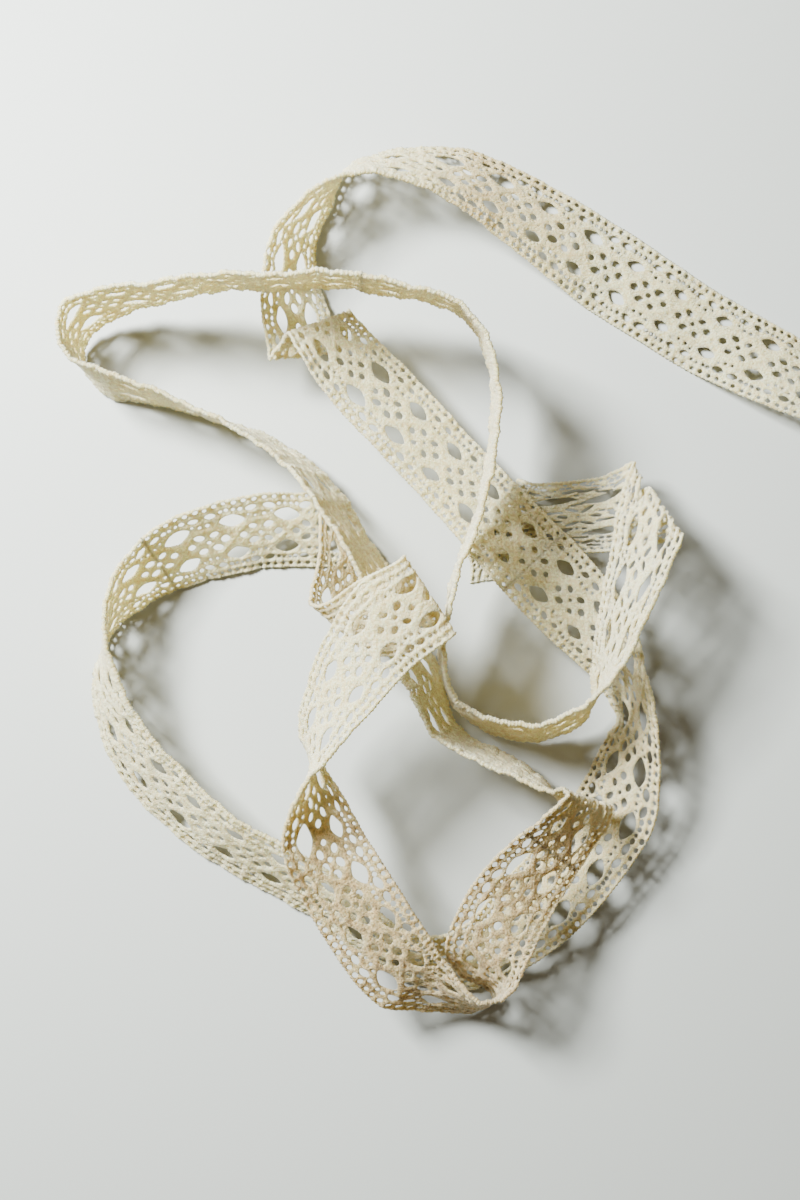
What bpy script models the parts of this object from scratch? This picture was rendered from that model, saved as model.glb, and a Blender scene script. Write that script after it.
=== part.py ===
"""A length of cotton lace ribbon, lying in a loose tangle on a table.

The ribbon is one worked strip. Its route is a table with a row for each section or fold, which
says where the two headings of the strip pass. The flat lace, with its large eye gaps cut through,
is made once for each repeat of the pattern and laid on that route.
"""

from collections import namedtuple

import bmesh
import bpy
import numpy as np

MM = 0.001

# Driving sizes of the lace, in millimetres
REPEAT = 15.0
WIDTH = 25.0
THICKNESS = 1.0
EYE_HALF_LENGTH = 3.8
EYE_HALF_WIDTH = 2.1
EYE_HALF_SHOULDER = 1.9
EYE_OFFSET = 5.5
HEADING_STEPS = 3

# How finely the route is followed, and where extra cuts go at a fold, in rows from its row
STEPS_PER_ROW = 16
FOLD_CUTS = (-0.6, -0.25, 0.05, 0.35, 0.7)

# How far the slant of the crossing lines is evened out along the lace, in millimetres
SLANT_STEP = 0.5
SLANT_REACH = 9.0

# The middle of the tangle's outline in the route's own millimetres, which becomes the origin
MIDDLE_X = 17.2
MIDDLE_Y = 6.5

# The lace's cotton
ECRU = (0.80, 0.76, 0.64, 1.0)
COTTON_ROUGHNESS = 0.92

# Where the two headings pass, in millimetres: x to the right, y away, z up from the table.
# Heading a is the outer edge of the flat tail, and heading b is the other one.
Section = namedtuple("Section", "place ax ay az bx by bz")

ROUTE = (
    Section("tail end", 128, 68, 0.8, 119, 49, 9),
    Section("tail", 115, 75, 0.6, 105, 54, 8),
    Section("tail", 92, 88, 0.5, 82, 66, 0.5),
    Section("tail", 79, 96.5, 0.5, 69, 74, 0.5),
    Section("tail", 65, 106, 0.5, 54.5, 83, 0.5),
    Section("arch", 26, 127, 0.5, 19, 107, 14),
    Section("arch", 6, 130, 0.5, 4, 114, 20),
    Section("arch", -14, 124.5, 0.5, -13, 115.5, 23.5),
    Section("arch", -20, 113.5, 0.5, -23, 111.5, 24.5),
    Section("first wall", -24, 102.5, 0.5, -33.5, 101, 23.5),
    Section("first wall", -24, 92.5, 0.8, -37.5, 90, 21),
    Section("first wall", -20.5, 82, 2, -38, 78, 18),
    Section("first wall", -18.2, 74.5, 3.4, -36.8, 70.6, 15),
    Section("fold", -15.3, 70.4, 4.8, -36.4, 66.6, 15.6),
    Section("pleat", -14.7, 73.7, 7.2, -34.9, 68.6, 18.2),
    Section("pleat", -14.6, 78.2, 9.2, -32.2, 70.9, 20.4),
    Section("fold", -14, 81, 11, -30.6, 72, 22.2),
    Section("long diagonal", -12, 78, 13, -29, 69.4, 23.8),
    Section("long diagonal", -1.7, 68.6, 10.5, -20.5, 56.5, 20.5),
    Section("long diagonal", 26, 39.7, 8, 5.8, 28.5, 15),
    Section("long diagonal", 52.5, 12.5, 9, 32, -1.4, 14),
    Section("long diagonal", 60.5, 2.5, 11, 43.5, -12.5, 9),
    Section("turn", 65.3, -9, 17.5, 54, -21.5, 4.5),
    Section("turn", 67.5, -20.8, 20, 62, -33, 0.6),
    Section("right ring", 70.2, -34, 20, 60, -38.5, 0.5),
    Section("right ring", 71.5, -60, 13.5, 50, -56, 0.5),
    Section("right ring", 66, -72.5, 11, 44.5, -64.5, 0.5),
    Section("right ring", 47, -95.5, 9, 30, -79.5, 3),
    Section("lower ring", 25, -110.5, 1.5, 17, -91, 13),
    Section("lower ring", 11.5, -111.5, 0.5, 9.5, -92.5, 17),
    Section("lower ring", 0, -108.4, 0.5, 0.5, -90.3, 18),
    Section("left ring", -27.2, -89.5, 0.5, -20.5, -73.5, 19),
    Section("left ring", -53.9, -74.8, 0.5, -44.2, -60.1, 19),
    Section("left ring", -77.4, -54.5, 0.5, -62.8, -43.4, 18),
    Section("left ring", -87.5, -32.5, 0.5, -74.2, -28, 20.5),
    Section("left ring", -88, -23, 0.5, -77, -20, 22),
    Section("left ring", -82.5, -9.5, 0.5, -80.3, -5, 24),
    Section("upper ring", -73.5, -1.5, 0.5, -76.8, 9, 22),
    Section("upper ring", -56, 5.5, 0.5, -62.4, 22.7, 18.5),
    Section("upper ring", -36.5, 9.3, 0.5, -40.1, 29.6, 13),
    Section("upper ring", -19, 9.5, 0.6, -28.8, 30.4, 7),
    Section("fold", -3.8, 9.8, 2.4, -22.6, 30.8, 6.8),
    Section("brown face", -6.3, 7.4, 5.2, -22.6, 25.6, 11),
    Section("brown face", -8.5, 3, 6.5, -22.6, 12, 17.5),
    Section("brown face", -9, -6, 10, -24, 3, 23),
    Section("fold", -8.3, -14.8, 17.5, -24.4, -1, 25.5),
    Section("band", -4.5, -15.2, 24, -20.5, -1, 28.5),
    Section("band", 3.4, -13.8, 33.5, -10.9, 5.3, 34),
    Section("band", 12.4, -10.4, 39.5, -1.3, 9.8, 39.5),
    Section("fold", 14.2, -9, 41.5, 0.6, 11.4, 41.5),
    Section("high strip", 12.2, -10.6, 43.5, -1.5, 9.6, 43.5),
    Section("high strip", 3.9, -16.7, 43.5, -10.4, 4.4, 43.5),
    Section("high strip", -9.8, -31.6, 43, -21.9, -14.7, 32),
    Section("high strip", -19.2, -41.3, 43, -27.2, -36, 21),
    Section("twist", -26.8, -51.5, 40, -19.2, -48, 18),
    Section("low brown strip", -31.2, -64.5, 33.5, -11.5, -61, 20),
    Section("low brown strip", -29, -75, 28.5, -7, -67.5, 22.5),
    Section("low brown strip", -6.4, -111.8, 16, 8, -91, 23.5),
    Section("low brown strip", 3.4, -115, 9, 11.8, -97.5, 22.5),
    Section("low brown strip", 21.5, -117.3, 1.2, 22.3, -108.6, 25),
    Section("tip", 26.8, -114.6, 0.8, 27.3, -107.6, 25.3),
    Section("sharp strip", 24.5, -110.2, 2.8, 30.8, -104.3, 26),
    Section("sharp strip", 17, -105, 9, 33.5, -99, 26),
    Section("sharp strip", 12.2, -96, 18, 36.3, -95, 23.5),
    Section("sharp strip", 20.4, -74.5, 27, 40, -88.5, 20),
    Section("sharp strip", 37, -58, 32, 52.5, -69, 17.5),
    Section("gathered strip", 42.5, -52.8, 33.5, 58.5, -59, 17.5),
    Section("fold", 43.9, -51.2, 32.5, 58.8, -57, 15),
    Section("gathered strip", 43, -50.4, 31, 54.5, -57.5, 11),
    Section("gathered strip", 40.5, -50.3, 30.5, 46.5, -57, 7.5),
    Section("second wall", 35.9, -49.5, 29.5, 38.2, -49, 5.5),
    Section("second wall", 9.8, -36.7, 25, 15.6, -35, 0.6),
    Section("second wall", 1.2, -22.5, 24, 11, -19.5, 0.6),
    Section("second wall", -3.2, -13.5, 25, 5.1, -10, 2),
    Section("second wall", -13, 11.4, 31, -5.7, 12, 8),
    Section("second wall", -26.5, 30.8, 29, -21, 35, 6),
    Section("second wall", -32.6, 38.2, 25.5, -32.4, 43.8, 2.5),
    Section("second wall", -58.1, 53.5, 23.5, -62.3, 54.7, 0.5),
    Section("second wall", -80, 62, 24, -84.3, 59.5, 0.5),
    Section("left bend", -91.4, 68.2, 25, -91, 69.8, 1),
    Section("left bend", -91.8, 77.8, 27, -86, 77.8, 3.5),
    Section("left bend", -88, 81, 28, -80.9, 80, 5),
    Section("top wall", -56, 83.9, 39, -54.5, 85.2, 15),
    Section("top wall", -41.1, 83.7, 43.5, -42.3, 84.7, 20.5),
    Section("top wall", -10.2, 83.2, 44.5, -11.5, 84.7, 20.5),
    Section("right loop", 13, 77.3, 43, 13.3, 79.7, 19),
    Section("right loop", 20, 71.7, 42, 20.3, 74.4, 18),
    Section("right loop", 24.3, 63, 41.5, 24.4, 66, 17.5),
    Section("right loop", 24.8, 39.5, 41, 24.5, 41, 17),
    Section("right loop", 20.8, 22.6, 40.5, 20.6, 23, 17),
    Section("right loop", 14.8, 5, 38.5, 14.5, 5, 15),
    Section("right loop", 11.3, -16, 35, 11.6, -18, 11),
    Section("right loop", 18, -29, 28.5, 18.8, -33.7, 5.5),
    Section("right loop", 35.5, -33.4, 26.5, 38.5, -39.8, 3.2),
    Section("right loop", 47, -29.5, 28.8, 50.5, -35.3, 6.5),
    Section("right loop", 53.8, -23.5, 31.5, 54.3, -28, 10),
    Section("bright strip", 58.3, -17.4, 33.5, 53.4, -19.8, 12),
    Section("bright strip", 63, -9.2, 34.5, 54, -12, 14.5),
    Section("bright strip", 72.6, 12, 34, 59.5, 20, 14.5),
    Section("bright strip", 74.2, 15.2, 33.5, 62, 32, 15),
    Section("fold", 75, 17, 30.5, 64.8, 38.6, 11.5),
    Section("stretched strip", 72.4, 16, 26, 62.4, 37.2, 7),
    Section("stretched strip", 65.5, 14, 15, 58.5, 35.5, 5),
    Section("stretched strip", 55.5, 13.3, 7, 54, 34.6, 4.4),
    Section("stretched strip", 33.5, 13.2, 3.8, 41, 33.4, 4),
    Section("stretched strip", 22, 13.2, 4.4, 37, 33.5, 4.4),
    Section("fold", 18.4, 14, 2.4, 34.2, 34.6, 2.4),
    Section("cut piece", 20, 11, 0.5, 36.5, 31.5, 0.5),
    Section("cut end", 19.8, 0.8, 0.5, 42, 12, 0.5),
)


def spline_rows(points, steps):
    """A smooth curve through each row of points, with even steps between rows."""
    count = len(points)
    first = 2 * points[0] - points[1]
    last = 2 * points[-1] - points[-2]
    padded = np.vstack([first, points, last])
    gaps = np.linalg.norm(np.diff(padded, axis=0), axis=1)
    knots = np.concatenate([[0.0], np.cumsum(np.sqrt(gaps))])
    curve = []
    for row in range(count - 1):
        p0, p1, p2, p3 = padded[row : row + 4]
        t0, t1, t2, t3 = knots[row : row + 4]
        for step in range(steps):
            t = t1 + (t2 - t1) * step / steps
            a1 = ((t1 - t) * p0 + (t - t0) * p1) / (t1 - t0)
            a2 = ((t2 - t) * p1 + (t - t1) * p2) / (t2 - t1)
            a3 = ((t3 - t) * p2 + (t - t2) * p3) / (t3 - t2)
            b1 = ((t2 - t) * a1 + (t - t0) * a2) / (t2 - t0)
            b2 = ((t3 - t) * a2 + (t - t1) * a3) / (t3 - t1)
            curve.append(((t2 - t) * b1 + (t - t1) * b2) / (t2 - t1))
    curve.append(points[-1])
    return np.array(curve)


class Strip:
    """The lace's middle surface: headings a and b, and how far along the lace each point lies."""

    def __init__(self):
        rows = np.array([row[1:] for row in ROUTE], dtype=float)
        rows[:, [0, 3]] -= MIDDLE_X
        rows[:, [1, 4]] -= MIDDLE_Y
        curve = spline_rows(rows, STEPS_PER_ROW)
        self.a = curve[:, :3]
        self.b = curve[:, 3:]
        middle = (self.a + self.b) / 2
        steps = np.linalg.norm(np.diff(middle, axis=0), axis=1)
        self.along = np.concatenate([[0.0], np.cumsum(steps)])
        tangent = np.gradient(middle, self.along, axis=0)
        tangent /= np.linalg.norm(tangent, axis=1)[:, None]
        self.slant = self.evened(np.sum((self.b - self.a) * tangent, axis=1))
        self.length = self.along[-1]

    def evened(self, slant):
        """The crossing lines' slant, averaged over a short reach of the lace."""
        grid = np.arange(0, self.along[-1], SLANT_STEP)
        window = np.hanning(int(2 * SLANT_REACH / SLANT_STEP))
        reach = len(window) // 2
        padded = np.pad(np.interp(grid, self.along, slant), reach, mode="edge")
        evened = np.convolve(padded, window / window.sum(), mode="same")[reach:-reach]
        return np.interp(self.along, grid, evened)

    def along_at(self, across):
        """Distance along the lace where each crossing line meets a line at this offset."""
        return self.along + self.slant * across / WIDTH

    def place(self, u, v):
        """The point and the face direction of the laid lace at u along and v across."""
        line = np.maximum.accumulate(self.along_at(v))
        crossing = np.interp(u, line, np.arange(len(line)))
        row = int(min(crossing, len(line) - 1.001))
        part = crossing - row
        a = self.a[row] * (1 - part) + self.a[row + 1] * part
        b = self.b[row] * (1 - part) + self.b[row + 1] * part
        share = 0.5 + v / WIDTH
        point = a * (1 - share) + b * share
        ahead_a = self.a[row + 1] - self.a[row]
        ahead_b = self.b[row + 1] - self.b[row]
        face = np.cross(ahead_a * (1 - share) + ahead_b * share, b - a)
        return point, face / np.linalg.norm(face)


def repeat_faces():
    """Corners and faces of one flat repeat of the lace, with an eye gap on each side."""
    half = WIDTH / 2
    tip = REPEAT / 2 - EYE_HALF_LENGTH
    shoulder = REPEAT / 2 - EYE_HALF_SHOULDER
    corners = {}
    for side in (1, -1):
        for step in range(HEADING_STEPS + 1):
            corners[side, "heading", step] = (REPEAT * step / HEADING_STEPS, side * half)
            corners["middle", step] = (REPEAT * step / HEADING_STEPS, 0.0)
        high = side * (EYE_OFFSET + EYE_HALF_WIDTH)
        low = side * (EYE_OFFSET - EYE_HALF_WIDTH)
        corners[side, "start"] = (0.0, side * EYE_OFFSET)
        corners[side, "end"] = (REPEAT, side * EYE_OFFSET)
        corners[side, "tip"] = (tip, side * EYE_OFFSET)
        corners[side, "far tip"] = (REPEAT - tip, side * EYE_OFFSET)
        corners[side, "high"] = (shoulder, high)
        corners[side, "far high"] = (REPEAT - shoulder, high)
        corners[side, "low"] = (shoulder, low)
        corners[side, "far low"] = (REPEAT - shoulder, low)
    faces = []
    for side in (1, -1):
        edge = [(side, "heading", step) for step in range(HEADING_STEPS + 1)]
        axis = [("middle", step) for step in range(HEADING_STEPS + 1)]
        start, end = (side, "start"), (side, "end")
        tip_in, tip_out = (side, "tip"), (side, "far tip")
        high_in, high_out = (side, "high"), (side, "far high")
        low_in, low_out = (side, "low"), (side, "far low")
        faces += [
            (side, (start, tip_in, high_in, edge[1], edge[0])),
            (side, (high_in, high_out, edge[2], edge[1])),
            (side, (high_out, tip_out, end, edge[3], edge[2])),
            (side, (axis[0], axis[1], low_in, tip_in, start)),
            (side, (axis[1], axis[2], low_out, low_in)),
            (side, (axis[2], axis[3], end, tip_out, low_out)),
        ]
    return corners, faces


def flat_lace(length):
    """The whole flat lace as a bmesh in millimetres, u along X and v along Y."""
    corners, faces = repeat_faces()
    repeats = int(round(length / REPEAT))
    stretch = length / (repeats * REPEAT)
    lace = bmesh.new()
    for repeat in range(repeats):
        here = {}
        for name, (u, v) in corners.items():
            here[name] = lace.verts.new(((u + repeat * REPEAT) * stretch, v, 0))
        for side, names in faces:
            ring = [here[name] for name in names]
            lace.faces.new(ring if side > 0 else reversed(ring))
    bmesh.ops.remove_doubles(lace, verts=lace.verts, dist=0.01)
    return lace


def cut_at_folds(lace, strip):
    """Adds crossing lines at each fold, so that the lace turns there in several small steps."""
    for row, section in enumerate(ROUTE):
        if section.place not in ("fold", "tip"):
            continue
        for offset in FOLD_CUTS:
            sample = int(round((row + offset) * STEPS_PER_ROW))
            lean = strip.slant[sample] / WIDTH
            bmesh.ops.bisect_plane(
                lace,
                geom=lace.verts[:] + lace.edges[:] + lace.faces[:],
                dist=0.05,
                plane_co=(strip.along[sample], 0, 0),
                plane_no=(1, -lean, 0),
            )


def on_table(point):
    """A point in metres, raised to the table's top where the lace presses on it."""
    return point[0] * MM, point[1] * MM, max(point[2], 0.0) * MM


def thicken_on_route(lace, strip):
    """Closes the flat lace into a solid, with both faces laid on the route."""
    bmesh.ops.triangulate(lace, faces=lace.faces)
    places = {vert: strip.place(vert.co.x, vert.co.y) for vert in lace.verts}
    solid = bmesh.new()
    upper = {}
    lower = {}
    for vert, (point, face) in places.items():
        upper[vert] = solid.verts.new(on_table(point + face * THICKNESS / 2))
        lower[vert] = solid.verts.new(on_table(point - face * THICKNESS / 2))
    for flat in lace.faces:
        ring = flat.verts[:]
        solid.faces.new([upper[vert] for vert in ring])
        solid.faces.new([lower[vert] for vert in reversed(ring)])
    for edge in lace.edges:
        if len(edge.link_faces) == 1:
            loop = edge.link_loops[0]
            start = loop.vert
            end = loop.link_loop_next.vert
            solid.faces.new((upper[end], upper[start], lower[start]))
            solid.faces.new((upper[end], lower[start], lower[end]))
    return solid


def cotton():
    material = bpy.data.materials.new("lace cotton")
    material.use_nodes = True
    shader = material.node_tree.nodes["Principled BSDF"]
    shader.inputs["Base Color"].default_value = ECRU
    shader.inputs["Roughness"].default_value = COTTON_ROUGHNESS
    shader.inputs["Metallic"].default_value = 0.0
    return material


def build_ribbon():
    strip = Strip()
    lace = flat_lace(strip.length)
    cut_at_folds(lace, strip)
    solid = thicken_on_route(lace, strip)
    mesh = bpy.data.meshes.new("lace_ribbon")
    solid.to_mesh(mesh)
    lace.free()
    solid.free()
    mesh.materials.append(cotton())
    ribbon = bpy.data.objects.new("lace_ribbon", mesh)
    bpy.context.collection.objects.link(ribbon)
    return ribbon


for old in list(bpy.data.objects):
    bpy.data.objects.remove(old)
build_ribbon()
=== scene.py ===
"""A length of cotton lace ribbon in a loose tangle, seen from straight above on a pale table.

The lace is a fine openwork mesh. It is worked flat, hole by hole, and laid on the same route as the
solid part. Five pieces make up the strip, because one mesh of this fineness would be too large.
"""

from collections import namedtuple

import bpy
import numpy as np
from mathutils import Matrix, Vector


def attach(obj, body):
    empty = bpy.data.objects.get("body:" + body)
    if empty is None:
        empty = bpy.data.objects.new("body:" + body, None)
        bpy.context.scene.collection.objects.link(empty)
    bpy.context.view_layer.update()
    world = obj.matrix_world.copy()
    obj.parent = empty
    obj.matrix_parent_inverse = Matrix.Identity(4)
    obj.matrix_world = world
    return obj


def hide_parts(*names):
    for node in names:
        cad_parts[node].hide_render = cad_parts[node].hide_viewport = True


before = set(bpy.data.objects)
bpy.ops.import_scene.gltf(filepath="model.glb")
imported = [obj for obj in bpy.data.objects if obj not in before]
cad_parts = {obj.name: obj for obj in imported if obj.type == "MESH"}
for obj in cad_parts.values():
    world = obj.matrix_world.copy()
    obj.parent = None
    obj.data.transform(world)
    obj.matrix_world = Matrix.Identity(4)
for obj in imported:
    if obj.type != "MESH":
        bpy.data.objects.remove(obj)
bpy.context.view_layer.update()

MM = 0.001

# Sizes of the lace that the solid part has too, in millimetres
REPEAT = 15.0
WIDTH = 25.0
SLANT_STEP = 0.5
SLANT_REACH = 9.0
MIDDLE_X = 17.2
MIDDLE_Y = 6.5

# The camera, in millimetres: its height above the table, its lens and its sensor's width. It looks
# straight down on the photo's middle, which is where the route's x and y are 0
CAMERA_HEIGHT = 400.0
LENS = 41.74
SENSOR = 36.0

# The mesh: cells along and across one repeat, the width of the grid of cells, steps between route
# rows, and number of pieces
CELLS_ALONG = 40
CELLS_ACROSS = 68
MESH_WIDTH = 25.6
STEPS_PER_ROW = 32
PIECES = 5

# The lines along the lace on which its crossings are looked up: how many, and their points' spacing
LOOKUP_LINES = 65
LOOKUP_STEP = 0.2

# Yarn: its half height at a hole's edge, how much the crown, the ridges and the headings rise above
# that, and the widths of a ridge and of the yarn's round side
EDGE_HALF_HEIGHT = 0.10
CROWN_RISE = 0.20
RIDGE_RISE = 0.18
HEADING_RISE = 0.18
RIDGE_HALF_WIDTH = 0.55
ROUND_SIDE = 0.55

# Where the ridges run: the headings, the straight cords beside them, and the chain of ovals
HEADING_OFFSET = 12.05
INNER_RIDGES = (10.0, 7.35)
OVAL_HALF_WIDTH = 4.3
OVAL_FULLNESS = 0.8

# The headings' scalloped outer edges: how far inside the full width they lie, depth and pitch
HEADING_INSET = 0.05
SCALLOP = 0.16
SCALLOP_PITCH = 1.25

# The knots that the threads make in the yarn: their pitch along and across, and their height
KNOT_PITCH = (1.25, 1.04)
KNOT_RISE = 0.17

# How far the headings wave out of the strip's surface, the waves' lengths, how fast a wave fades
# towards the other heading, and how much lower the short waves are
WAVE_RISE = 0.22
WAVE_LENGTHS = (31.0, 17.0, 9.5, 5.3, 2.9)
WAVE_FADE = 1.5
WAVE_LOWERING = 0.4

# Fitting the grid to the holes: how far inside a hole a grid corner may lie and still count as yarn,
# the step for measuring a slope, the least slope, the number of moves, and the longest move in cells
IN_HOLE = 0.06
SLOPE_STEP = 0.02
LEAST_SLOPE = 0.2
MOVES = 3
LONGEST_MOVE = 0.52

# A hole's middle, as a share of its reach, and how deep it counts there, as a share of its half width
HOLE_MIDDLE = 0.3
MIDDLE_DEPTH = 0.7

# The yarn's threads and small knots, in millimetres, and how far a thread wavers, in radians
THREAD_PITCH = 0.55
THREAD_WAVER = 5.0
KNOT_SIZE = 0.78

# The yarn's fine relief: the fibres' height in millimetres, and how high threads and crevices stand
# against the fibres
FIBRE_HEIGHT = 0.4
THREAD_HEIGHT = 0.40
CREVICE_HEIGHT = -1.1

# How many of each patch come in a millimetre: wavers, fibres, warm, uneven painted shade and specks
WAVER_SCALE = 0.9
FIBRE_SCALE = 7.0
WARM_SCALE = 0.06
UNEVEN_SCALE = 0.35
SPECK_SCALE = 1.5

# How dark the painted shade in crevices and in the gaps between threads is
CREVICE_SHADE = 0.75
BETWEEN_SHADE = 0.45

# The yarn's colours: its own colour, a painted shade for its crevices, where it has yellowed most,
# and a dark painted shade for the places whose faces are turned from the light
YARN_LIGHT = (0.99, 0.93, 0.50, 1.0)
YARN_SHADE = (0.74, 0.52, 0.25, 1.0)
YARN_WARM = (0.98, 0.86, 0.42, 1.0)
YARN_PAINTED_SHADE = (0.21, 0.15, 0.05, 1.0)

# The table, the window's light, the room's light and the backdrop that the camera sees, with sizes
# in millimetres
TABLE_REACH = 1500.0
TABLE_DROP = 0.1
TABLE_LIGHT = (0.50, 0.535, 0.51, 1.0)
TABLE_SHADE = (0.49, 0.525, 0.50, 1.0)
WINDOW_WAY = (-0.80, 0.60, 0.94)
WINDOW_AWAY = 620.0
WINDOW_SIZE = (165.0, 165.0)
WINDOW_POWER = 21.0
WINDOW_COLOUR = (0.985, 1.0, 0.985)
ROOM_COLOUR = (1.0, 0.80, 0.54, 1.0)
ROOM_STRENGTH = 0.155
BACKDROP_COLOUR = (0.97, 1.0, 0.97, 1.0)
BACKDROP_STRENGTH = 0.6

# How far one hole differs from the next of its kind, the most that counts, and the random seed
SIZE_SPREAD = 0.10
PLACE_SPREAD = 0.10
LEAN_SPREAD = 0.12
MOST_SPREAD = 2.0
SEED = 7

# The holes of a quarter of one repeat, in millimetres. The oval's middle is at u 0 and the junction
# of two ovals is at u 7.5. The rest of the repeat is this quarter mirrored along and across.
# A low power gives a pointed hole, and 2 gives an ellipse. The slits open only where the lace is
# drawn out.
Hole = namedtuple("Hole", "place u v half_u half_v lean power")

HOLES = (
    Hole("eye", 7.5, 5.4, 3.90, 2.25, 0.0, 1.45),
    Hole("oval end", 4.85, 0.0, 1.05, 0.95, 0.0, 1.9),
    Hole("oval side", 2.15, 2.3, 1.30, 0.88, 0.35, 1.8),
    Hole("oval middle", 0.0, 0.0, 0.68, 0.62, 0.0, 2.0),
    Hole("pin", 1.05, 5.8, 0.50, 0.50, 0.0, 2.0),
    Hole("pin", 3.0, 6.5, 0.42, 0.40, 0.0, 2.0),
    Hole("petal", 2.2, 8.5, 1.50, 0.88, -0.12, 1.7),
    Hole("ladder", 4.95, 8.8, 0.62, 0.60, 0.0, 2.0),
    Hole("ladder", 6.65, 8.95, 0.50, 0.55, 0.0, 2.0),
    Hole("heading", 1.25, 11.05, 0.62, 0.62, 0.15, 1.8),
    Hole("heading", 3.75, 11.05, 0.62, 0.62, 0.15, 1.8),
    Hole("heading", 6.25, 11.05, 0.62, 0.62, 0.15, 1.8),
    Hole("slit", 3.75, 10.0, 1.70, 0.55, 0.0, 1.8),
    Hole("slit", 7.5, 7.35, 1.80, 0.55, 0.0, 1.8),
    Hole("slit", 0.0, 7.15, 1.40, 0.50, 0.0, 1.8),
    Hole("slit", 0.0, 4.1, 1.80, 0.55, 0.0, 1.8),
    Hole("slit", 7.5, 1.5, 1.80, 0.55, 0.0, 1.8),
)

# How the lace looks at each place on its way: the sizes of its eyes and other holes, how far it is
# drawn out so that slits open along it, how much painted shade darkens its yarn where the faces turn
# from the light, how crumpled the headings are, and how many millimetres the middle rises between
# the headings
Look = namedtuple("Look", "eye_size hole_size drawn browned crumpled lift")

LOOKS = {
    "tail end": Look(0.72, 1.00, 0.0, 0.00, 0.8, 0.5),
    "tail": Look(0.72, 1.00, 0.0, 0.00, 0.8, 1.2),
    "shoulder": Look(0.90, 1.10, 0.0, 0.90, 1.0, 0.5),
    "arch": Look(0.90, 1.00, 0.0, 0.10, 1.0, 0.0),
    "first wall": Look(1.05, 1.08, 0.1, 0.10, 1.0, 0.0),
    "pleat": Look(1.00, 1.00, 0.0, 0.20, 1.0, 0.0),
    "long diagonal": Look(0.82, 0.92, 0.0, 0.03, 1.0, 0.0),
    "turn": Look(0.92, 1.00, 0.0, 0.25, 1.0, 0.0),
    "right ring": Look(1.00, 1.08, 0.0, 0.55, 1.0, 0.0),
    "lower ring": Look(1.00, 1.08, 0.0, 0.45, 1.0, 0.0),
    "left ring": Look(0.84, 0.94, 0.0, 0.05, 1.0, 0.0),
    "upper ring": Look(0.96, 1.05, 0.0, 0.10, 1.0, 0.0),
    "brown face": Look(0.95, 1.00, 0.0, 0.75, 1.0, 0.0),
    "band": Look(0.76, 0.88, 0.0, 0.45, 1.0, 0.0),
    "high strip": Look(0.92, 0.96, 0.1, 0.00, 1.0, 0.0),
    "twist": Look(1.00, 1.00, 0.2, 0.40, 1.0, 0.0),
    "low brown strip": Look(1.00, 1.12, 0.0, 1.00, 1.0, 0.0),
    "tip": Look(1.00, 1.08, 0.0, 1.00, 1.0, 0.0),
    "sharp strip": Look(1.02, 1.12, 0.0, 1.00, 1.0, 0.0),
    "gathered strip": Look(0.95, 0.95, 0.2, 0.50, 1.2, 0.0),
    "second wall": Look(0.90, 0.95, 0.1, 0.10, 1.2, 0.0),
    "left bend": Look(0.90, 0.95, 0.1, 0.05, 1.2, 0.0),
    "top wall": Look(0.85, 0.90, 0.1, 0.00, 1.4, 0.0),
    "right loop": Look(0.80, 0.85, 0.1, 0.05, 1.1, 0.0),
    "bright strip": Look(0.95, 1.00, 0.5, 0.00, 1.0, 0.0),
    "stretched strip": Look(1.00, 1.00, 1.0, 0.00, 1.2, 0.0),
    "cut piece": Look(1.00, 1.00, 0.6, 0.10, 1.0, 0.0),
    "cut end": Look(1.00, 1.00, 0.4, 0.10, 1.0, 0.0),
}

# How much longer and narrower a hole is where the lace is fully drawn out, and the size of a slit
# where it isn't drawn out, too small to open
DRAWN_LONGER = 0.75
DRAWN_NARROWER = 0.45
LEAST_SLIT = 0.02

# Where the two headings pass, in millimetres: x to the right, y away, z up from the table
Section = namedtuple("Section", "place ax ay az bx by bz")

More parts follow.
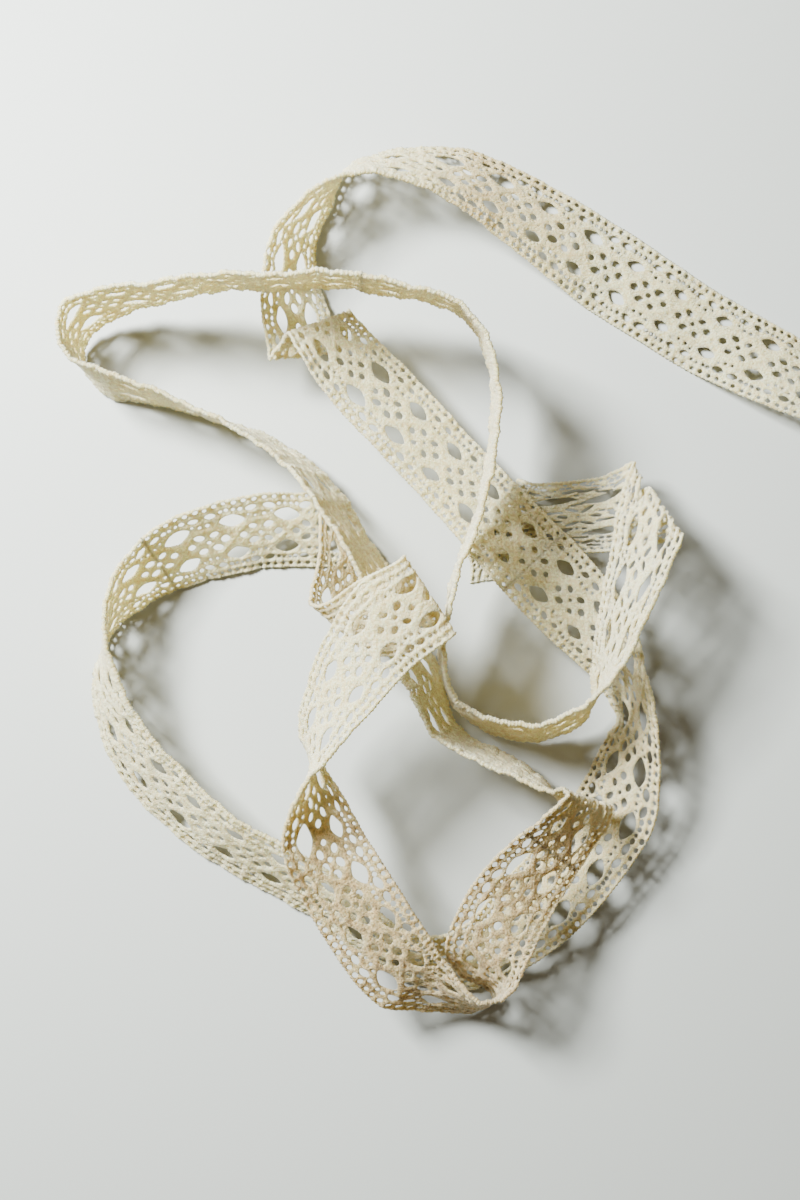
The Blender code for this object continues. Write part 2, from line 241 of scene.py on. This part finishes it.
ROUTE = (
    Section("tail end", 128, 68, 0.8, 119, 49, 9),
    Section("tail", 115, 75, 0.6, 105, 54, 8),
    Section("tail", 92, 88, 0.5, 82, 66, 0.5),
    Section("tail", 79, 96.5, 0.5, 69, 74, 0.5),
    Section("tail", 65, 106, 0.5, 54.5, 83, 0.5),
    Section("shoulder", 26, 127, 0.5, 19, 107, 14),
    Section("arch", 6, 130, 0.5, 4, 114, 20),
    Section("arch", -14, 124.5, 0.5, -13, 115.5, 23.5),
    Section("arch", -20, 113.5, 0.5, -23, 111.5, 24.5),
    Section("first wall", -24, 102.5, 0.5, -33.5, 101, 23.5),
    Section("first wall", -24, 92.5, 0.8, -37.5, 90, 21),
    Section("first wall", -20.5, 82, 2, -38, 78, 18),
    Section("first wall", -18.2, 74.5, 3.4, -36.8, 70.6, 15),
    Section("fold", -15.3, 70.4, 4.8, -36.4, 66.6, 15.6),
    Section("pleat", -14.7, 73.7, 7.2, -34.9, 68.6, 18.2),
    Section("pleat", -14.6, 78.2, 9.2, -32.2, 70.9, 20.4),
    Section("fold", -14, 81, 11, -30.6, 72, 22.2),
    Section("long diagonal", -12, 78, 13, -29, 69.4, 23.8),
    Section("long diagonal", -1.7, 68.6, 10.5, -20.5, 56.5, 20.5),
    Section("long diagonal", 26, 39.7, 8, 5.8, 28.5, 15),
    Section("long diagonal", 52.5, 12.5, 9, 32, -1.4, 14),
    Section("long diagonal", 60.5, 2.5, 11, 43.5, -12.5, 9),
    Section("turn", 65.3, -9, 17.5, 54, -21.5, 4.5),
    Section("turn", 67.5, -20.8, 20, 62, -33, 0.6),
    Section("right ring", 70.2, -34, 20, 60, -38.5, 0.5),
    Section("right ring", 71.5, -60, 13.5, 50, -56, 0.5),
    Section("right ring", 66, -72.5, 11, 44.5, -64.5, 0.5),
    Section("right ring", 47, -95.5, 9, 30, -79.5, 3),
    Section("lower ring", 25, -110.5, 1.5, 17, -91, 13),
    Section("lower ring", 11.5, -111.5, 0.5, 9.5, -92.5, 17),
    Section("lower ring", 0, -108.4, 0.5, 0.5, -90.3, 18),
    Section("left ring", -27.2, -89.5, 0.5, -20.5, -73.5, 19),
    Section("left ring", -53.9, -74.8, 0.5, -44.2, -60.1, 19),
    Section("left ring", -77.4, -54.5, 0.5, -62.8, -43.4, 18),
    Section("left ring", -87.5, -32.5, 0.5, -74.2, -28, 20.5),
    Section("left ring", -88, -23, 0.5, -77, -20, 22),
    Section("left ring", -82.5, -9.5, 0.5, -80.3, -5, 24),
    Section("upper ring", -73.5, -1.5, 0.5, -76.8, 9, 22),
    Section("upper ring", -56, 5.5, 0.5, -62.4, 22.7, 18.5),
    Section("upper ring", -36.5, 9.3, 0.5, -40.1, 29.6, 13),
    Section("upper ring", -19, 9.5, 0.6, -28.8, 30.4, 7),
    Section("fold", -3.8, 9.8, 2.4, -22.6, 30.8, 6.8),
    Section("brown face", -6.3, 7.4, 5.2, -22.6, 25.6, 11),
    Section("brown face", -8.5, 3, 6.5, -22.6, 12, 17.5),
    Section("brown face", -9, -6, 10, -24, 3, 23),
    Section("fold", -8.3, -14.8, 17.5, -24.4, -1, 25.5),
    Section("band", -4.5, -15.2, 24, -20.5, -1, 28.5),
    Section("band", 3.4, -13.8, 33.5, -10.9, 5.3, 34),
    Section("band", 12.4, -10.4, 39.5, -1.3, 9.8, 39.5),
    Section("fold", 14.2, -9, 41.5, 0.6, 11.4, 41.5),
    Section("high strip", 12.2, -10.6, 43.5, -1.5, 9.6, 43.5),
    Section("high strip", 3.9, -16.7, 43.5, -10.4, 4.4, 43.5),
    Section("high strip", -9.8, -31.6, 43, -21.9, -14.7, 32),
    Section("high strip", -19.2, -41.3, 43, -27.2, -36, 21),
    Section("twist", -26.8, -51.5, 40, -19.2, -48, 18),
    Section("low brown strip", -31.2, -64.5, 33.5, -11.5, -61, 20),
    Section("low brown strip", -29, -75, 28.5, -7, -67.5, 22.5),
    Section("low brown strip", -6.4, -111.8, 16, 8, -91, 23.5),
    Section("low brown strip", 3.4, -115, 9, 11.8, -97.5, 22.5),
    Section("low brown strip", 21.5, -117.3, 1.2, 22.3, -108.6, 25),
    Section("tip", 26.8, -114.6, 0.8, 27.3, -107.6, 25.3),
    Section("sharp strip", 24.5, -110.2, 2.8, 30.8, -104.3, 26),
    Section("sharp strip", 17, -105, 9, 33.5, -99, 26),
    Section("sharp strip", 12.2, -96, 18, 36.3, -95, 23.5),
    Section("sharp strip", 20.4, -74.5, 27, 40, -88.5, 20),
    Section("sharp strip", 37, -58, 32, 52.5, -69, 17.5),
    Section("gathered strip", 42.5, -52.8, 33.5, 58.5, -59, 17.5),
    Section("fold", 43.9, -51.2, 32.5, 58.8, -57, 15),
    Section("gathered strip", 43, -50.4, 31, 54.5, -57.5, 11),
    Section("gathered strip", 40.5, -50.3, 30.5, 46.5, -57, 7.5),
    Section("second wall", 35.9, -49.5, 29.5, 38.2, -49, 5.5),
    Section("second wall", 9.8, -36.7, 25, 15.6, -35, 0.6),
    Section("second wall", 1.2, -22.5, 24, 11, -19.5, 0.6),
    Section("second wall", -3.2, -13.5, 25, 5.1, -10, 2),
    Section("second wall", -13, 11.4, 31, -5.7, 12, 8),
    Section("second wall", -26.5, 30.8, 29, -21, 35, 6),
    Section("second wall", -32.6, 38.2, 25.5, -32.4, 43.8, 2.5),
    Section("second wall", -58.1, 53.5, 23.5, -62.3, 54.7, 0.5),
    Section("second wall", -80, 62, 24, -84.3, 59.5, 0.5),
    Section("left bend", -91.4, 68.2, 25, -91, 69.8, 1),
    Section("left bend", -91.8, 77.8, 27, -86, 77.8, 3.5),
    Section("left bend", -88, 81, 28, -80.9, 80, 5),
    Section("top wall", -56, 83.9, 39, -54.5, 85.2, 15),
    Section("top wall", -41.1, 83.7, 43.5, -42.3, 84.7, 20.5),
    Section("top wall", -10.2, 83.2, 44.5, -11.5, 84.7, 20.5),
    Section("right loop", 13, 77.3, 43, 13.3, 79.7, 19),
    Section("right loop", 20, 71.7, 42, 20.3, 74.4, 18),
    Section("right loop", 24.3, 63, 41.5, 24.4, 66, 17.5),
    Section("right loop", 24.8, 39.5, 41, 24.5, 41, 17),
    Section("right loop", 20.8, 22.6, 40.5, 20.6, 23, 17),
    Section("right loop", 14.8, 5, 38.5, 14.5, 5, 15),
    Section("right loop", 11.3, -16, 35, 11.6, -18, 11),
    Section("right loop", 18, -29, 28.5, 18.8, -33.7, 5.5),
    Section("right loop", 35.5, -33.4, 26.5, 38.5, -39.8, 3.2),
    Section("right loop", 47, -29.5, 28.8, 50.5, -35.3, 6.5),
    Section("right loop", 53.8, -23.5, 31.5, 54.3, -28, 10),
    Section("bright strip", 58.3, -17.4, 33.5, 53.4, -19.8, 12),
    Section("bright strip", 63, -9.2, 34.5, 54, -12, 14.5),
    Section("bright strip", 72.6, 12, 34, 59.5, 20, 14.5),
    Section("bright strip", 74.2, 15.2, 33.5, 62, 32, 15),
    Section("fold", 75, 17, 30.5, 64.8, 38.6, 11.5),
    Section("stretched strip", 72.4, 16, 26, 62.4, 37.2, 7),
    Section("stretched strip", 65.5, 14, 15, 58.5, 35.5, 5),
    Section("stretched strip", 55.5, 13.3, 7, 54, 34.6, 4.4),
    Section("stretched strip", 33.5, 13.2, 3.8, 41, 33.4, 4),
    Section("stretched strip", 22, 13.2, 4.4, 37, 33.5, 4.4),
    Section("fold", 18.4, 14, 2.4, 34.2, 34.6, 2.4),
    Section("cut piece", 20, 11, 0.5, 36.5, 31.5, 0.5),
    Section("cut end", 19.8, 0.8, 0.5, 42, 12, 0.5),
)


def camera_above():
    data = bpy.data.cameras.new("camera")
    data.lens = LENS
    data.sensor_width = SENSOR
    camera = bpy.data.objects.new("camera", data)
    camera.location = (-MIDDLE_X * MM, -MIDDLE_Y * MM, CAMERA_HEIGHT * MM)
    bpy.context.collection.objects.link(camera)
    bpy.context.scene.camera = camera


def spline_rows(points, steps):
    """A smooth curve through each row of points, with even steps between rows."""
    count = len(points)
    first = 2 * points[0] - points[1]
    last = 2 * points[-1] - points[-2]
    padded = np.vstack([first, points, last])
    gaps = np.linalg.norm(np.diff(padded, axis=0), axis=1)
    knots = np.concatenate([[0.0], np.cumsum(np.sqrt(gaps))])
    curve = []
    for row in range(count - 1):
        p0, p1, p2, p3 = padded[row : row + 4]
        t0, t1, t2, t3 = knots[row : row + 4]
        for step in range(steps):
            t = t1 + (t2 - t1) * step / steps
            a1 = ((t1 - t) * p0 + (t - t0) * p1) / (t1 - t0)
            a2 = ((t2 - t) * p1 + (t - t1) * p2) / (t2 - t1)
            a3 = ((t3 - t) * p2 + (t - t2) * p3) / (t3 - t2)
            b1 = ((t2 - t) * a1 + (t - t0) * a2) / (t2 - t0)
            b2 = ((t3 - t) * a2 + (t - t1) * a3) / (t3 - t1)
            curve.append(((t2 - t) * b1 + (t - t1) * b2) / (t2 - t1))
    curve.append(points[-1])
    return np.array(curve)


class Strip:
    """The lace's middle surface, from heading a to heading b."""

    def __init__(self):
        rows = np.array([row[1:] for row in ROUTE], dtype=float)
        rows[:, [0, 3]] -= MIDDLE_X
        rows[:, [1, 4]] -= MIDDLE_Y
        curve = spline_rows(rows, STEPS_PER_ROW)
        self.a = curve[:, :3]
        self.b = curve[:, 3:]
        middle = (self.a + self.b) / 2
        steps = np.linalg.norm(np.diff(middle, axis=0), axis=1)
        self.along = np.concatenate([[0.0], np.cumsum(steps)])
        tangent = np.gradient(middle, self.along, axis=0)
        tangent /= np.linalg.norm(tangent, axis=1)[:, None]
        self.slant = self.evened(np.sum((self.b - self.a) * tangent, axis=1))
        self.length = self.along[-1]
        self.looks = self.looks_along()

    def evened(self, values):
        """Values on the crossing lines, averaged over a short reach of the lace."""
        grid = np.arange(0, self.along[-1], SLANT_STEP)
        window = np.hanning(int(2 * SLANT_REACH / SLANT_STEP))
        reach = len(window) // 2
        padded = np.pad(np.interp(grid, self.along, values), reach, mode="edge")
        evened = np.convolve(padded, window / window.sum(), mode="same")[reach:-reach]
        return np.interp(self.along, grid, evened)

    def looks_along(self):
        """Each column of the table of looks, on every crossing line. A fold has no look of its own."""
        rows = [row for row, section in enumerate(ROUTE) if section.place in LOOKS]
        lines = np.arange(len(self.along))
        places = np.array(rows) * STEPS_PER_ROW
        columns = {}
        for column in Look._fields:
            values = [getattr(LOOKS[ROUTE[row].place], column) for row in rows]
            columns[column] = self.evened(np.interp(lines, places, values))
        return columns

    def look(self, column, u):
        """One column of the table of looks at each u along the lace."""
        return np.interp(u, self.along, self.looks[column])

    def crossings(self, u, v):
        """Which crossing line each point of the flat lace lies on."""
        offsets = np.linspace(-MESH_WIDTH / 2, MESH_WIDTH / 2, LOOKUP_LINES)
        grid = np.arange(-REPEAT, self.length + REPEAT, LOOKUP_STEP)
        table = []
        for offset in offsets:
            line = np.maximum.accumulate(self.along + self.slant * offset / WIDTH)
            table.append(np.interp(grid, line, np.arange(len(line))))
        table = np.array(table)
        row = np.clip((v - offsets[0]) / (offsets[1] - offsets[0]), 0, len(offsets) - 1.001)
        column = np.clip((u - grid[0]) / LOOKUP_STEP, 0, len(grid) - 1.001)
        i = row.astype(int)
        j = column.astype(int)
        s = row - i
        t = column - j
        low = table[i, j] * (1 - t) + table[i, j + 1] * t
        high = table[i + 1, j] * (1 - t) + table[i + 1, j + 1] * t
        return low * (1 - s) + high * s

    def place(self, u, v):
        """The points and the face directions of the laid lace at u along and v across."""
        crossing = np.clip(self.crossings(u, v), 0, len(self.along) - 1.001)
        row = crossing.astype(int)
        part = (crossing - row)[:, None]
        a = self.a[row] * (1 - part) + self.a[row + 1] * part
        b = self.b[row] * (1 - part) + self.b[row + 1] * part
        share = (0.5 + v / WIDTH)[:, None]
        point = a * (1 - share) + b * share
        before = np.clip(row - 2, 0, len(self.along) - 1)
        after = np.clip(row + 3, 0, len(self.along) - 1)
        ahead = (self.a[after] - self.a[before]) * (1 - share) + (self.b[after] - self.b[before]) * share
        face = np.cross(ahead, b - a)
        return point, face / np.linalg.norm(face, axis=1)[:, None]


def whole_repeat():
    """All holes of one repeat, from the quarter in the table."""
    holes = []
    for hole in HOLES:
        for along in (1, -1):
            for across in (1, -1):
                if along < 0 and hole.u in (0.0, REPEAT / 2):
                    continue
                if across < 0 and hole.v == 0.0:
                    continue
                lean = hole.lean * along * across
                place = (hole.place, along * hole.u, across * hole.v)
                holes.append((*place, hole.half_u, hole.half_v, lean, hole.power))
    return holes


class Lace:
    """The flat lace's holes, each a little different from the next of its kind."""

    def __init__(self, strip, repeats):
        self.holes = whole_repeat()
        self.strip = strip
        self.stretch = strip.length / (repeats * REPEAT)
        chance = np.random.default_rng(SEED)
        shape = (repeats + 3, len(self.holes))
        differ = [chance.standard_normal(shape).clip(-MOST_SPREAD, MOST_SPREAD) for _ in range(4)]
        self.size = 1 + SIZE_SPREAD * differ[0]
        self.du = PLACE_SPREAD * differ[1]
        self.dv = PLACE_SPREAD * differ[2]
        self.lean = LEAN_SPREAD * differ[3]

    def field(self, u, v):
        """How far inside the yarn each point is, in millimetres; below 0 in a hole."""
        drawn = self.strip.look("drawn", u)
        longer = 1 + DRAWN_LONGER * drawn
        narrower = 1 - DRAWN_NARROWER * drawn
        sizes = {"eye": self.strip.look("eye_size", u), "slit": np.maximum(drawn, LEAST_SLIT)}
        usual = self.strip.look("hole_size", u)
        u = u / self.stretch
        scallops = SCALLOP * np.cos(2 * np.pi * u / SCALLOP_PITCH)
        inside = WIDTH / 2 - HEADING_INSET + scallops - np.abs(v)
        for index, (place, hole_u, hole_v, half_u, half_v, lean, power) in enumerate(self.holes):
            turn = np.round((u - hole_u) / REPEAT).astype(int)
            x = u - hole_u - turn * REPEAT
            kind = (np.clip(turn + 1, 0, len(self.size) - 1), index)
            x = x - self.du[kind]
            y = v - hole_v - self.dv[kind]
            angle = lean + self.lean[kind]
            size = self.size[kind] * sizes.get(place, usual)
            along = (x * np.cos(angle) + y * np.sin(angle)) / (half_u * size * longer)
            across = (y * np.cos(angle) - x * np.sin(angle)) / (half_v * size * narrower)
            reach = (np.abs(along) ** power + np.abs(across) ** power) ** (1 / power) + 1e-6
            distance = np.hypot(x, y) * (1 - 1 / reach)
            distance = np.where(reach < HOLE_MIDDLE, -min(half_u, half_v) * MIDDLE_DEPTH, distance)
            inside = np.minimum(inside, distance)
        return inside

    def half_height(self, u, v, inside):
        """Half the yarn's height: round at its sides, with ridges along the cords."""
        side = np.clip(inside / ROUND_SIDE, 0, 1)
        dome = np.sqrt(1 - (1 - side) ** 2)
        u = u / self.stretch
        phase = np.pi * u / REPEAT
        oval = OVAL_HALF_WIDTH * np.abs(np.cos(phase)) ** OVAL_FULLNESS
        ridge = ridge_at(v, oval)
        for offset in INNER_RIDGES:
            ridge = np.maximum(ridge, ridge_at(v, offset))
        heading = ridge_at(v, HEADING_OFFSET)
        along = 2 * np.pi * u / KNOT_PITCH[0]
        across = 2 * np.pi * v / KNOT_PITCH[1]
        knots = np.maximum(np.sin(along + across), np.sin(along - across))
        rise = CROWN_RISE + RIDGE_RISE * ridge + KNOT_RISE * knots
        rise += (RIDGE_RISE + HEADING_RISE) * heading
        return EDGE_HALF_HEIGHT + rise * dome

    def wave(self, u, v):
        """How far the surface waves to and fro, most at its headings, and how far its middle rises."""
        chance = np.random.default_rng(SEED + 1)
        total = np.zeros_like(u)
        for side in (-1, 1):
            share = np.clip(0.5 + side * v / WIDTH, 0, 1) ** WAVE_FADE
            for length in WAVE_LENGTHS:
                start = chance.uniform(0, 2 * np.pi)
                lower = (length / WAVE_LENGTHS[0]) ** WAVE_LOWERING
                total += share * lower * np.sin(2 * np.pi * u / length + start)
        crown = np.cos(np.pi * np.clip(v / WIDTH, -0.5, 0.5)) * self.strip.look("lift", u)
        return total * WAVE_RISE * self.strip.look("crumpled", u) + crown


def ridge_at(v, offset):
    """The share of a ridge's height at v, for a ridge at this offset on both sides of the middle."""
    return np.exp(-(((np.abs(v) - offset) / RIDGE_HALF_WIDTH) ** 2))


def fit_to_holes(lace, u, v, cell):
    """Moves grid points that lie near a hole's edge onto it."""
    moved_u = u.copy()
    moved_v = v.copy()
    inside = lace.field(u, v)
    near = np.abs(inside) < cell
    for _ in range(MOVES):
        here = lace.field(moved_u[near], moved_v[near])
        slope_u = (lace.field(moved_u[near] + SLOPE_STEP, moved_v[near]) - here) / SLOPE_STEP
        slope_v = (lace.field(moved_u[near], moved_v[near] + SLOPE_STEP) - here) / SLOPE_STEP
        steep = np.maximum(slope_u**2 + slope_v**2, LEAST_SLOPE)
        moved_u[near] -= here * slope_u / steep
        moved_v[near] -= here * slope_v / steep
    far = np.maximum(np.abs(moved_u - u), np.abs(moved_v - v)) > LONGEST_MOVE * cell
    moved_u[far] = u[far]
    moved_v[far] = v[far]
    return moved_u, moved_v


def cells_on_yarn(corner, inside):
    """The grid's squares that lie on yarn, and the triangles left of those with one corner in a hole."""
    around = [corner[:-1, :-1], corner[1:, :-1], corner[1:, 1:], corner[:-1, 1:]]
    quads = np.stack(around, axis=-1).reshape(-1, 4)
    held = inside[quads] > -IN_HOLE
    squares = quads[held.all(axis=1)]
    cut = held.sum(axis=1) == 3
    missing = np.argmin(held[cut], axis=1)
    ring = (missing[:, None] + np.array([1, 2, 3])) % 4
    return squares, np.take_along_axis(quads[cut], ring, axis=1)


def rim_edges(faces):
    """The edges that only one face has, in that face's direction."""
    sides = []
    for rings in faces:
        for corner in range(rings.shape[1]):
            following = (corner + 1) % rings.shape[1]
            sides.append(rings[:, [corner, following]])
    edges = np.vstack(sides)
    key = np.sort(edges, axis=1)
    _, first, count = np.unique(key, axis=0, return_index=True, return_counts=True)
    return edges[first[count == 1]]


def lace_piece(name, strip, lace, first, last, material):
    """The laid lace from one repeat to another, as a closed mesh of both faces and the rims."""
    columns = (last - first) * CELLS_ALONG + 1
    rows = CELLS_ACROSS + 1
    along = np.linspace(first, last, columns) * REPEAT * lace.stretch
    across = np.linspace(-MESH_WIDTH / 2, MESH_WIDTH / 2, rows)
    grid_u, grid_v = (side.ravel() for side in np.meshgrid(along, across, indexing="ij"))
    u, v = fit_to_holes(lace, grid_u, grid_v, MESH_WIDTH / CELLS_ACROSS)
    ends = (grid_u == along[0]) | (grid_u == along[-1])
    u[ends] = grid_u[ends]
    inside = lace.field(u, v)
    squares, triangles = cells_on_yarn(np.arange(columns * rows).reshape(columns, rows), inside)
    used = np.unique(np.concatenate([squares.ravel(), triangles.ravel()]))
    number = np.full(columns * rows, -1)
    number[used] = np.arange(len(used))
    squares = number[squares]
    triangles = number[triangles]
    u = u[used]
    v = v[used]
    inside = inside[used]
    point, face = strip.place(u, v)
    point = point + face * lace.wave(u, v)[:, None]
    half = lace.half_height(u, v, inside)[:, None]
    upper = point + face * half
    lower = point - face * half
    places = np.vstack([upper, lower])
    places[:, 2] = np.maximum(places[:, 2], 0.0)
    count = len(used)
    rim = rim_edges([squares, triangles])
    walls = np.stack([rim[:, 1], rim[:, 0], rim[:, 0] + count, rim[:, 1] + count], axis=1)
    polygons = squares.tolist() + triangles.tolist()
    polygons += (squares[:, ::-1] + count).tolist() + (triangles[:, ::-1] + count).tolist()
    polygons += walls.tolist()
    mesh = bpy.data.meshes.new(name)
    mesh.from_pydata((places * MM).tolist(), [], polygons)
    flat = np.stack([np.tile(u, 2), np.tile(v, 2)], axis=1)
    corners = np.empty(len(mesh.loops), dtype=np.int32)
    mesh.loops.foreach_get("vertex_index", corners)
    mesh.uv_layers.new(name="lace").data.foreach_set("uv", flat[corners].ravel())
    # Each point's share of the painted shade that stands in for faces turned from the light
    browned = mesh.attributes.new("browned", "FLOAT", "POINT")
    browned.data.foreach_set("value", np.tile(strip.look("browned", u), 2))
    mesh.polygons.foreach_set("use_smooth", [True] * len(polygons))
    mesh.materials.append(material)
    piece = bpy.data.objects.new(name, mesh)
    bpy.context.collection.objects.link(piece)
    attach(piece, "root")
    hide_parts("lace_ribbon")


def put(tree, kind, **settings):
    node = tree.nodes.new(kind)
    for key, value in settings.items():
        setattr(node, key, value)
    return node


def maths(tree, operation, *values):
    node = put(tree, "ShaderNodeMath", operation=operation)
    for index, value in enumerate(values):
        if isinstance(value, (int, float)):
            node.inputs[index].default_value = value
        else:
            tree.links.new(value, node.inputs[index])
    return node.outputs[0]


def noise(tree, vector, scale, detail=2.0, rough=0.5):
    node = put(tree, "ShaderNodeTexNoise")
    node.inputs["Scale"].default_value = scale
    node.inputs["Detail"].default_value = detail
    node.inputs["Roughness"].default_value = rough
    tree.links.new(vector, node.inputs["Vector"])
    return node.outputs["Fac"]


def spread(tree, value, low, high):
    """A value brought from between low and high to between 0 and 1."""
    node = put(tree, "ShaderNodeMapRange")
    node.inputs["From Min"].default_value = low
    node.inputs["From Max"].default_value = high
    tree.links.new(value, node.inputs["Value"])
    return node.outputs[0]


def mixed(tree, share, low, high):
    node = put(tree, "ShaderNodeMix", data_type="RGBA")
    tree.links.new(share, node.inputs["Factor"])
    for value, name in ((low, "A"), (high, "B")):
        socket = [s for s in node.inputs if s.name == name and s.type == "RGBA"][0]
        if isinstance(value, tuple):
            socket.default_value = value
        else:
            tree.links.new(value, socket)
    return [s for s in node.outputs if s.type == "RGBA"][0]


def lace_cotton():
    """Ecru cotton yarn: crossing threads, fibres, painted shade in crevices and on places turned from
    the light, and a warm translucence.
    """
    material = bpy.data.materials.new("lace cotton")
    material.use_nodes = True
    tree = material.node_tree
    shader = tree.nodes["Principled BSDF"]
    flat = put(tree, "ShaderNodeUVMap", uv_map="lace").outputs["UV"]
    parts = put(tree, "ShaderNodeSeparateXYZ")
    tree.links.new(flat, parts.inputs[0])
    u = parts.outputs[0]
    v = parts.outputs[1]
    waver = maths(tree, "MULTIPLY", noise(tree, flat, WAVER_SCALE, 3.0), THREAD_WAVER)
    turns = 2 * np.pi / THREAD_PITCH
    lines = []
    for lean in (1.0, -1.0):
        slope = maths(tree, "ADD", maths(tree, "MULTIPLY", v, lean), u)
        phase = maths(tree, "ADD", maths(tree, "MULTIPLY", slope, float(turns)), waver)
        lines.append(maths(tree, "SINE", phase))
    thread = maths(tree, "MAXIMUM", lines[0], lines[1])
    fibre = noise(tree, flat, FIBRE_SCALE, 4.0, 0.65)
    knots = put(tree, "ShaderNodeTexVoronoi")
    knots.inputs["Scale"].default_value = 1 / KNOT_SIZE
    knots.inputs["Randomness"].default_value = 0.85
    tree.links.new(flat, knots.inputs["Vector"])
    crevice = spread(tree, knots.outputs["Distance"], 0.30, 0.72)
    height = maths(tree, "MULTIPLY_ADD", thread, THREAD_HEIGHT, fibre)
    height = maths(tree, "MULTIPLY_ADD", crevice, CREVICE_HEIGHT, height)
    bump = put(tree, "ShaderNodeBump")
    bump.inputs["Strength"].default_value = 1.0
    bump.inputs["Distance"].default_value = FIBRE_HEIGHT * MM
    tree.links.new(height, bump.inputs["Height"])
    tree.links.new(bump.outputs[0], shader.inputs["Normal"])
    # Painted shade in the crevices between the knots and in the gaps between the threads
    between = spread(tree, thread, 0.35, -0.45)
    deep = maths(tree, "MULTIPLY", crevice, CREVICE_SHADE)
    dark = maths(tree, "MAXIMUM", deep, maths(tree, "MULTIPLY", between, BETWEEN_SHADE))
    warm = spread(tree, noise(tree, flat, WARM_SCALE, 3.0), 0.42, 0.68)
    yarn = mixed(tree, warm, YARN_LIGHT, YARN_WARM)
    # Painted shade: by each point's share, a little uneven, the yarn darkens to a brown that stands in
    # for faces turned from the light
    browned = put(tree, "ShaderNodeAttribute", attribute_name="browned").outputs["Fac"]
    uneven = spread(tree, noise(tree, flat, UNEVEN_SCALE, 3.0), 0.25, 0.65)
    share = maths(tree, "MULTIPLY", browned, maths(tree, "MULTIPLY_ADD", uneven, 0.45, 0.55))
    # Specks in the same painted-shade brown, at random: faint everywhere and bolder where the painted
    # shade is
    speck = spread(tree, noise(tree, flat, SPECK_SCALE, 2.0), 0.50, 0.66)
    flecked = maths(tree, "MULTIPLY", speck, maths(tree, "MULTIPLY_ADD", share, 0.8, 0.2))
    share = maths(tree, "MAXIMUM", share, flecked)
    yarn = mixed(tree, share, yarn, YARN_PAINTED_SHADE)
    tree.links.new(mixed(tree, dark, yarn, YARN_SHADE), shader.inputs["Base Color"])
    tree.links.new(maths(tree, "MULTIPLY_ADD", fibre, 0.2, 0.75), shader.inputs["Roughness"])
    shader.inputs["Subsurface Weight"].default_value = 0.8
    shader.inputs["Subsurface Radius"].default_value = (1.0, 0.88, 0.7)
    shader.inputs["Subsurface Scale"].default_value = 0.0035
    shader.inputs["Sheen Weight"].default_value = 0.25
    shader.inputs["Sheen Roughness"].default_value = 0.6
    shader.inputs["Specular IOR Level"].default_value = 0.25
    return material


def table():
    """A pale painted table top."""
    material = bpy.data.materials.new("pale table")
    material.use_nodes = True
    tree = material.node_tree
    shader = tree.nodes["Principled BSDF"]
    place = put(tree, "ShaderNodeTexCoord").outputs["Object"]
    patch = noise(tree, place, 6.0, 3.0)
    tree.links.new(mixed(tree, patch, TABLE_SHADE, TABLE_LIGHT), shader.inputs["Base Color"])
    shader.inputs["Roughness"].default_value = 0.6
    mesh = bpy.data.meshes.new("table")
    reach = TABLE_REACH * MM
    corners = [(-reach, -reach, 0), (reach, -reach, 0), (reach, reach, 0), (-reach, reach, 0)]
    mesh.from_pydata(corners, [], [(0, 1, 2, 3)])
    mesh.materials.append(material)
    top = bpy.data.objects.new("table", mesh)
    top.location = (0, 0, -TABLE_DROP * MM)
    bpy.context.collection.objects.link(top)


def window_light():
    """A soft window at the upper left, and a dim warm room with a pale backdrop."""
    data = bpy.data.lights.new("window", "AREA")
    data.shape = "RECTANGLE"
    data.size = WINDOW_SIZE[0] * MM
    data.size_y = WINDOW_SIZE[1] * MM
    data.energy = WINDOW_POWER
    data.color = WINDOW_COLOUR
    light = bpy.data.objects.new("window", data)
    way = Vector(WINDOW_WAY).normalized()
    light.location = way * WINDOW_AWAY * MM
    light.rotation_euler = way.to_track_quat("Z", "Y").to_euler()
    bpy.context.collection.objects.link(light)
    world = bpy.data.worlds.new("room")
    world.use_nodes = True
    tree = world.node_tree
    sky = tree.nodes["Background"]
    seen = put(tree, "ShaderNodeLightPath").outputs["Is Camera Ray"]
    strength = maths(tree, "MULTIPLY_ADD", seen, BACKDROP_STRENGTH, ROOM_STRENGTH)
    tree.links.new(mixed(tree, seen, ROOM_COLOUR, BACKDROP_COLOUR), sky.inputs["Color"])
    tree.links.new(strength, sky.inputs["Strength"])
    bpy.context.scene.world = world


def make_lace():
    strip = Strip()
    repeats = int(round(strip.length / REPEAT))
    lace = Lace(strip, repeats)
    material = lace_cotton()
    breaks = [round(repeats * part / PIECES) for part in range(PIECES + 1)]
    for part in range(PIECES):
        name = f"lace_{part + 1}"
        lace_piece(name, strip, lace, breaks[part], breaks[part + 1], material)


camera_above()
make_lace()
table()
window_light()
